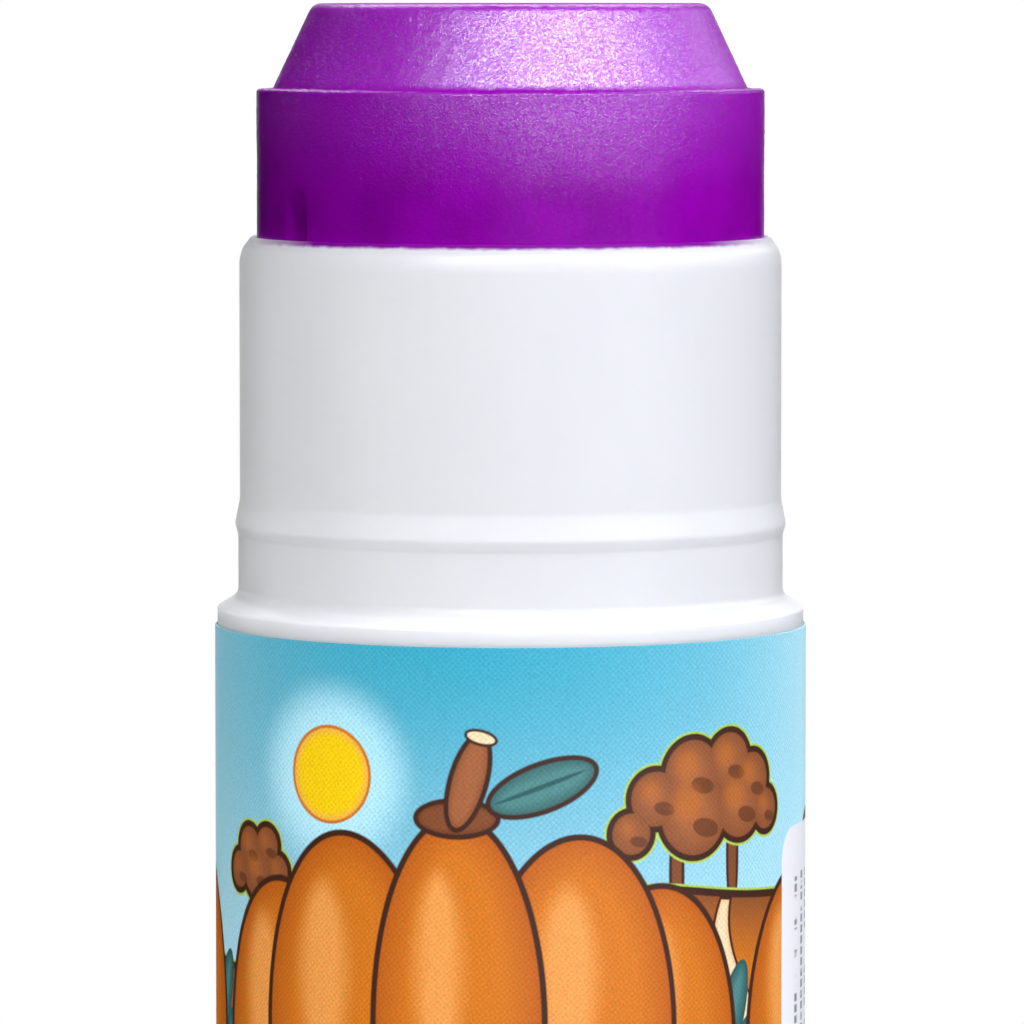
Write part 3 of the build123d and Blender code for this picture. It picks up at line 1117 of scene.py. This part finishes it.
def print_panel(art):
    """A white panel with upright lines of grey dashes, which spell nothing."""
    art.paint(art.panel(art.here, panel_place, panel_halves, panel_corner), panel_white)
    line = (art.along - first_line) / line_pitch
    row = line.math("ROUND")
    words = {"Vector": art.spot(row * row_shift, art.up * words_per_mm), "Scale": 1.0, "Detail": 2.0}
    inked = art.output("ShaderNodeTexNoise", 0, words)
    letters = (art.up * (2 * pi / letter_pitch)).math("COSINE")
    across = (line - row).math("ABSOLUTE")
    dash = across.ramp(*dash_share) * inked.ramp(*word_edge) * letters.ramp(*letter_edge)
    inside = art.panel(art.here, panel_place, text_halves, text_corner).ramp(text_fade, -text_fade)
    art.picture = art.blend(dash * inside * dash_ink, art.picture, dash_grey)


def label_material():
    """Printed film: a harvest picture of hills, trees and pumpkins, and a white panel with dashes."""
    art = Print("printed_film", Roughness=film_roughness)
    paint_sky(art)
    paint_trees(art)
    paint_hills(art)
    paint_bushes(art)
    paint_pumpkins(art)
    print_dots(art)
    print_panel(art)
    art.drive("Base Color", art.picture)
    art.bump(art.grain(film_lumps, detail=3.0), film_bump)
    return art.material


def softbox(name, azimuth, elevation, distance, width, height, radiance, colour=(1, 1, 1)):
    """An area lamp that shines at the stick from a direction: angles in degrees, and lengths in metres."""
    data = bpy.data.lights.new(name, "AREA")
    data.shape = "RECTANGLE"
    data.size = width
    data.size_y = height
    data.energy = radiance * pi * width * height
    data.color = colour
    lamp = bpy.data.objects.new(name, data)
    lamp.visible_camera = False
    aim = Vector((0, 0, camera_aim_level * MM))
    away = Vector((cos(radians(elevation)) * sin(radians(azimuth)),
                   -cos(radians(elevation)) * cos(radians(azimuth)), sin(radians(elevation))))
    lamp.location = aim + away * distance
    lamp.rotation_euler = away.to_track_quat("Z", "Y").to_euler()
    bpy.context.scene.collection.objects.link(lamp)
    return lamp


def ray_kinds(tree):
    """(1 for rays from the camera, 1 for reflections and what is seen through glass)."""
    path = tree.nodes.new("ShaderNodeLightPath")
    kinds = ("Is Camera Ray", "Is Glossy Ray", "Is Transmission Ray")
    camera, glossy, through = (Field(tree, path.outputs[kind]) for kind in kinds)
    return camera, glossy.most(through) * (1 - camera)


def light_stick():
    """Soft boxes round the stick, and beams as high as the barrel that leave the sides of the glue dark."""
    for name, values in soft_boxes.items():
        softbox(name, *values)
    for azimuth, radiance in beams.items():
        beam = softbox(f"beam_{azimuth}", azimuth, 0, beam_distance, beam_width, beam_height, radiance)
        beam.location.z = beam_level
        beam.data.spread = radians(beam_spread)
        beam.visible_glossy = False


def make_world():
    """A dim studio with a white backdrop behind the stick and a paler ceiling."""
    world = bpy.data.worlds.new("studio")
    bpy.context.scene.world = world
    world.use_nodes = True
    tree = world.node_tree
    shader = tree.nodes["Background"]
    shader.inputs["Color"].default_value = (1, 1, 1, 1)
    place = tree.nodes.new("ShaderNodeTexCoord")
    parts = tree.nodes.new("ShaderNodeSeparateXYZ")
    tree.links.new(place.outputs["Generated"], parts.inputs[0])
    back, up = (Field(tree, parts.outputs[name]) for name in "YZ")
    camera, mirrored = ray_kinds(tree)
    light = up.ease(*ceiling_heights) * world_up + world_dark
    reflection = back.ease(*backdrop_edge) + gloss_dark
    plug(tree, shader.inputs["Strength"],
         camera + mirrored * reflection + (1 - camera - mirrored) * light)


def mixed(surface, share, first, second):
    """Two shaders mixed into one."""
    return surface.output("ShaderNodeMixShader", 0, {0: share, 1: first, 2: second})


def floor_material():
    """Pale near the stick, then blank as the backdrop, and clear from below."""
    surface = Surface("floor_white", Base_Color=floor_grey, Roughness=0.8, Specular_IOR_Level=0.2)
    distance = surface.output("ShaderNodeVectorMath", "Value", {0: surface.place}, operation="LENGTH")
    away = surface.output("ShaderNodeSeparateXYZ", "Y", {"Vector": surface.place})
    behind = (away / distance).ease(*backdrop_edge)
    camera, mirrored = ray_kinds(surface.tree)
    blank_strength = {"Strength": camera + mirrored * (behind + gloss_dark)}
    blank_share = camera * distance.ease(*floor_fade) + (1 - camera) * distance.ease(*floor_fade_unseen)
    pale = Field(surface.tree, surface.shader.outputs[0])
    blank = surface.output("ShaderNodeEmission", 0, blank_strength)
    clear = surface.output("ShaderNodeBsdfTransparent", 0)
    from_below = surface.output("ShaderNodeNewGeometry", "Backfacing")
    seen = mixed(surface, from_below, mixed(surface, blank_share, pale, blank), clear)
    plug(surface.tree, surface.tree.nodes["Material Output"].inputs["Surface"], seen)
    return surface.material


def make_floor():
    """A pale floor that fades into the white backdrop some way from the stick."""
    corners = [(x * floor_half, y * floor_half, 0) for x, y in ((-1, -1), (1, -1), (1, 1), (-1, 1))]
    mesh = bpy.data.meshes.new("floor")
    mesh.from_pydata(corners, [], [(0, 1, 2, 3)])
    mesh.materials.append(floor_material())
    floor = bpy.data.objects.new("floor", mesh)
    bpy.context.scene.collection.objects.link(floor)


def make_camera():
    """The photograph's view: a long lens just above the glue, looking a little down."""
    data = bpy.data.cameras.new("camera")
    data.sensor_width = sensor_width
    data.lens = data.sensor_width * focal_share
    data.clip_start = nearest_seen * MM
    camera = bpy.data.objects.new("camera", data)
    bpy.context.scene.collection.objects.link(camera)
    camera.location = Vector((camera_side, -camera_distance, camera_level)) * MM
    aim = Vector((camera_side, 0, camera_aim_level)) * MM
    camera.rotation_euler = (aim - camera.location).to_track_quat("-Z", "Y").to_euler()
    bpy.context.scene.camera = camera


def dress(piece, material):
    """Gives a piece one material."""
    piece.data.materials.clear()
    piece.data.materials.append(material)


barrel = make_barrel()
label = make_label()
glue = make_glue()
knob = make_knob()

dress(barrel, white_plastic("barrel_white", barrel_roughness, stained=True))
for piece in knob:
    dress(piece, white_plastic("knob_white", knob_roughness))
dress(glue, glue_material())
dress(label, label_material())
for node, material in (
    ("screw_spindle", inner_plastic("spindle_white", spindle_white, spindle_roughness)),
    ("carrier", inner_plastic("carrier_white", carrier_white, carrier_roughness)),
):
    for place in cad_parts[node].material_slots:
        place.material = material

make_floor()
make_world()
light_stick()
make_camera()

bpy.context.scene.view_settings.view_transform = "Standard"
